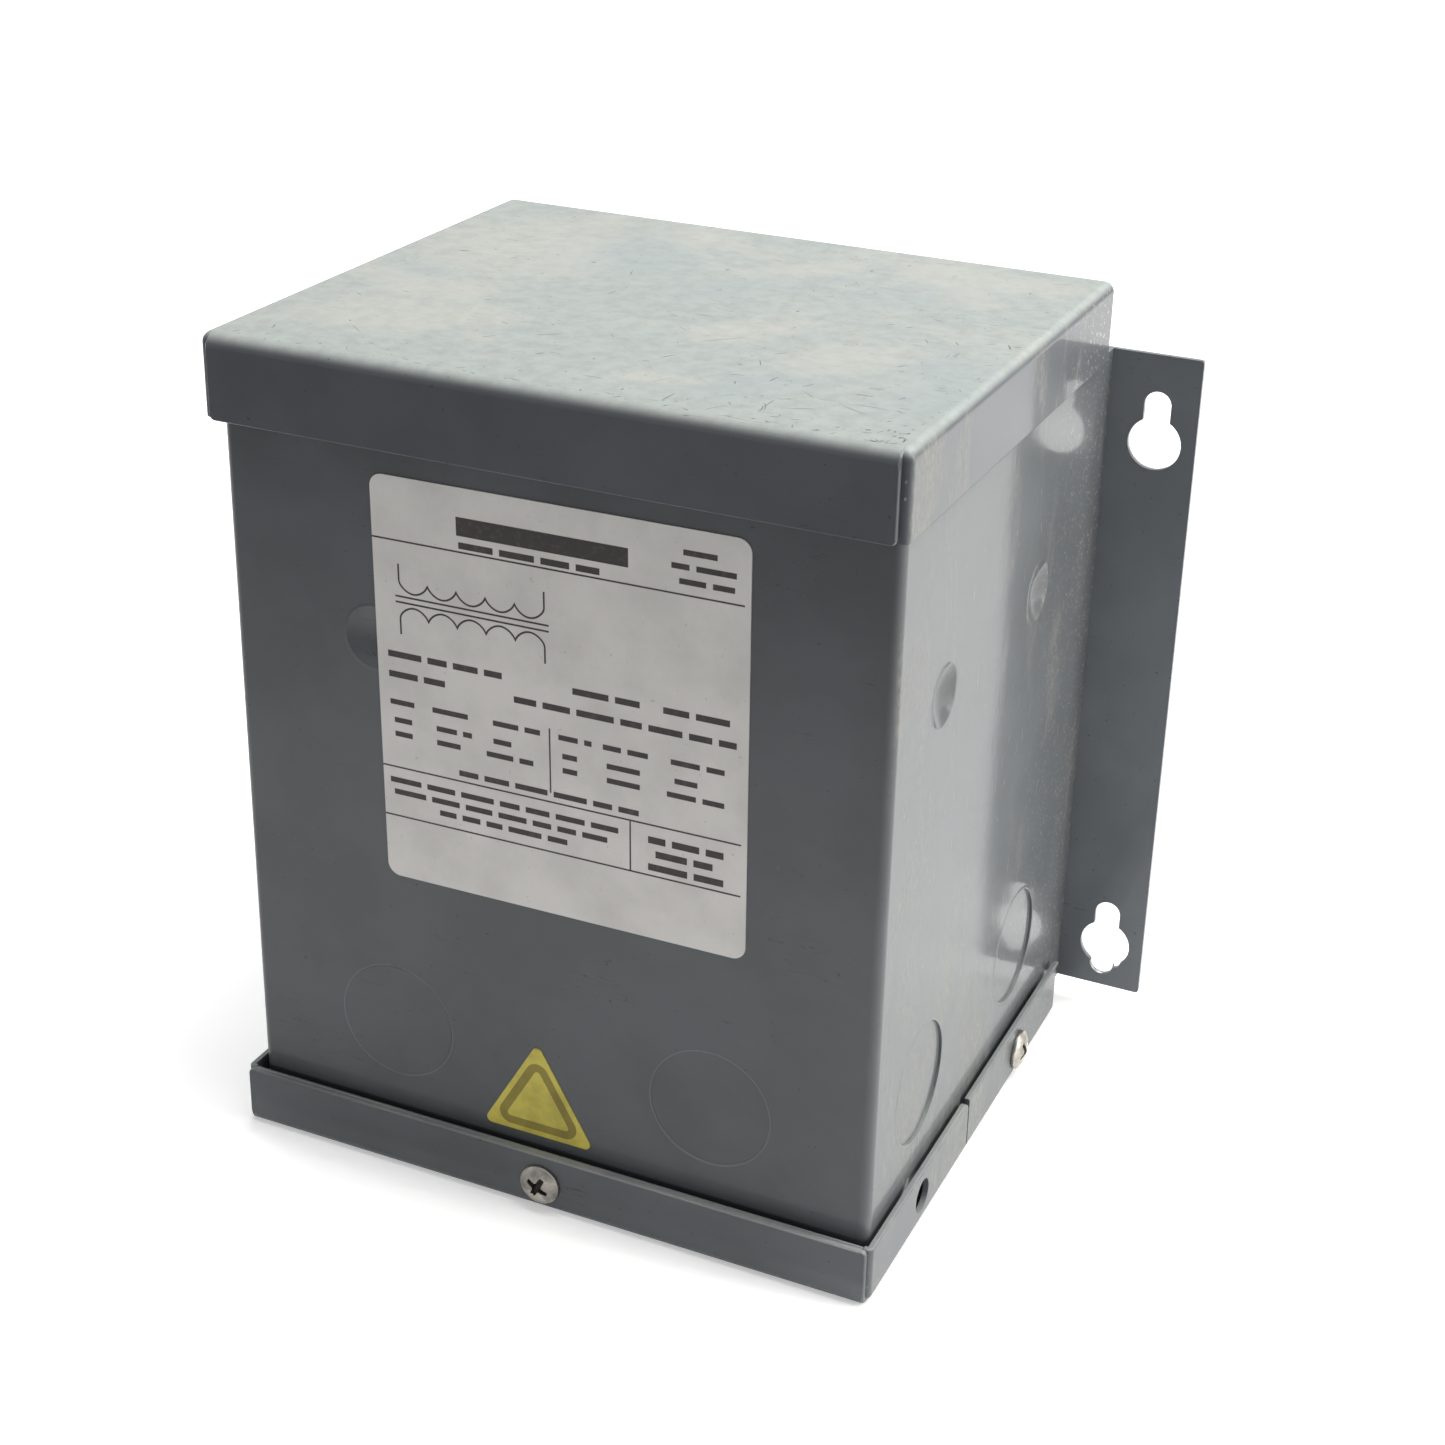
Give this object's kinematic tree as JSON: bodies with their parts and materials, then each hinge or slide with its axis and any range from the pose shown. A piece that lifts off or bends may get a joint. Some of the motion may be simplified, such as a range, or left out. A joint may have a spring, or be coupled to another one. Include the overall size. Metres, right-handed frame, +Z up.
{
  "type": "buck boost transformer",
  "caption": "Small wall-mounted dry-type transformer in a folded sheet-metal case with a lipped lid, a bottom pan, knockouts and two keyhole ears.",
  "frame": {"origin": "on the floor, midway across the case and midway between its foremost point and the wall", "axes": "+X to the right seen from the front, +Y from the front towards the wall, +Z up"},
  "size_m": [0.1948, 0.1432, 0.1922],
  "materials": {
    "case_paint": "semi-gloss grey enamel, scuffed and dusty",
    "screw_metal": "dull nickel plate",
    "nameplate_foil": "satin silver-grey label with dark ruling",
    "sticker_film": "yellow film with a darker band of its own colour",
    "core_compound": "dark potting compound"
  },
  "bodies": {
    "root": {"case_wrap": "case_paint", "back_panel": "case_paint", "lid": "case_paint", "pan_front": "case_paint", "pan_rear": "case_paint", "knockout_front_left": "case_paint", "knockout_front_right": "case_paint", "knockout_right_front": "case_paint", "knockout_right_rear": "case_paint", "knockout_left_front": "case_paint", "knockout_left_rear": "case_paint", "screw_front": "screw_metal", "screw_right": "screw_metal", "screw_left": "screw_metal", "nameplate": "nameplate_foil", "triangle_sticker": "sticker_film", "potted_core": "core_compound"}
  },
  "joints": []
}
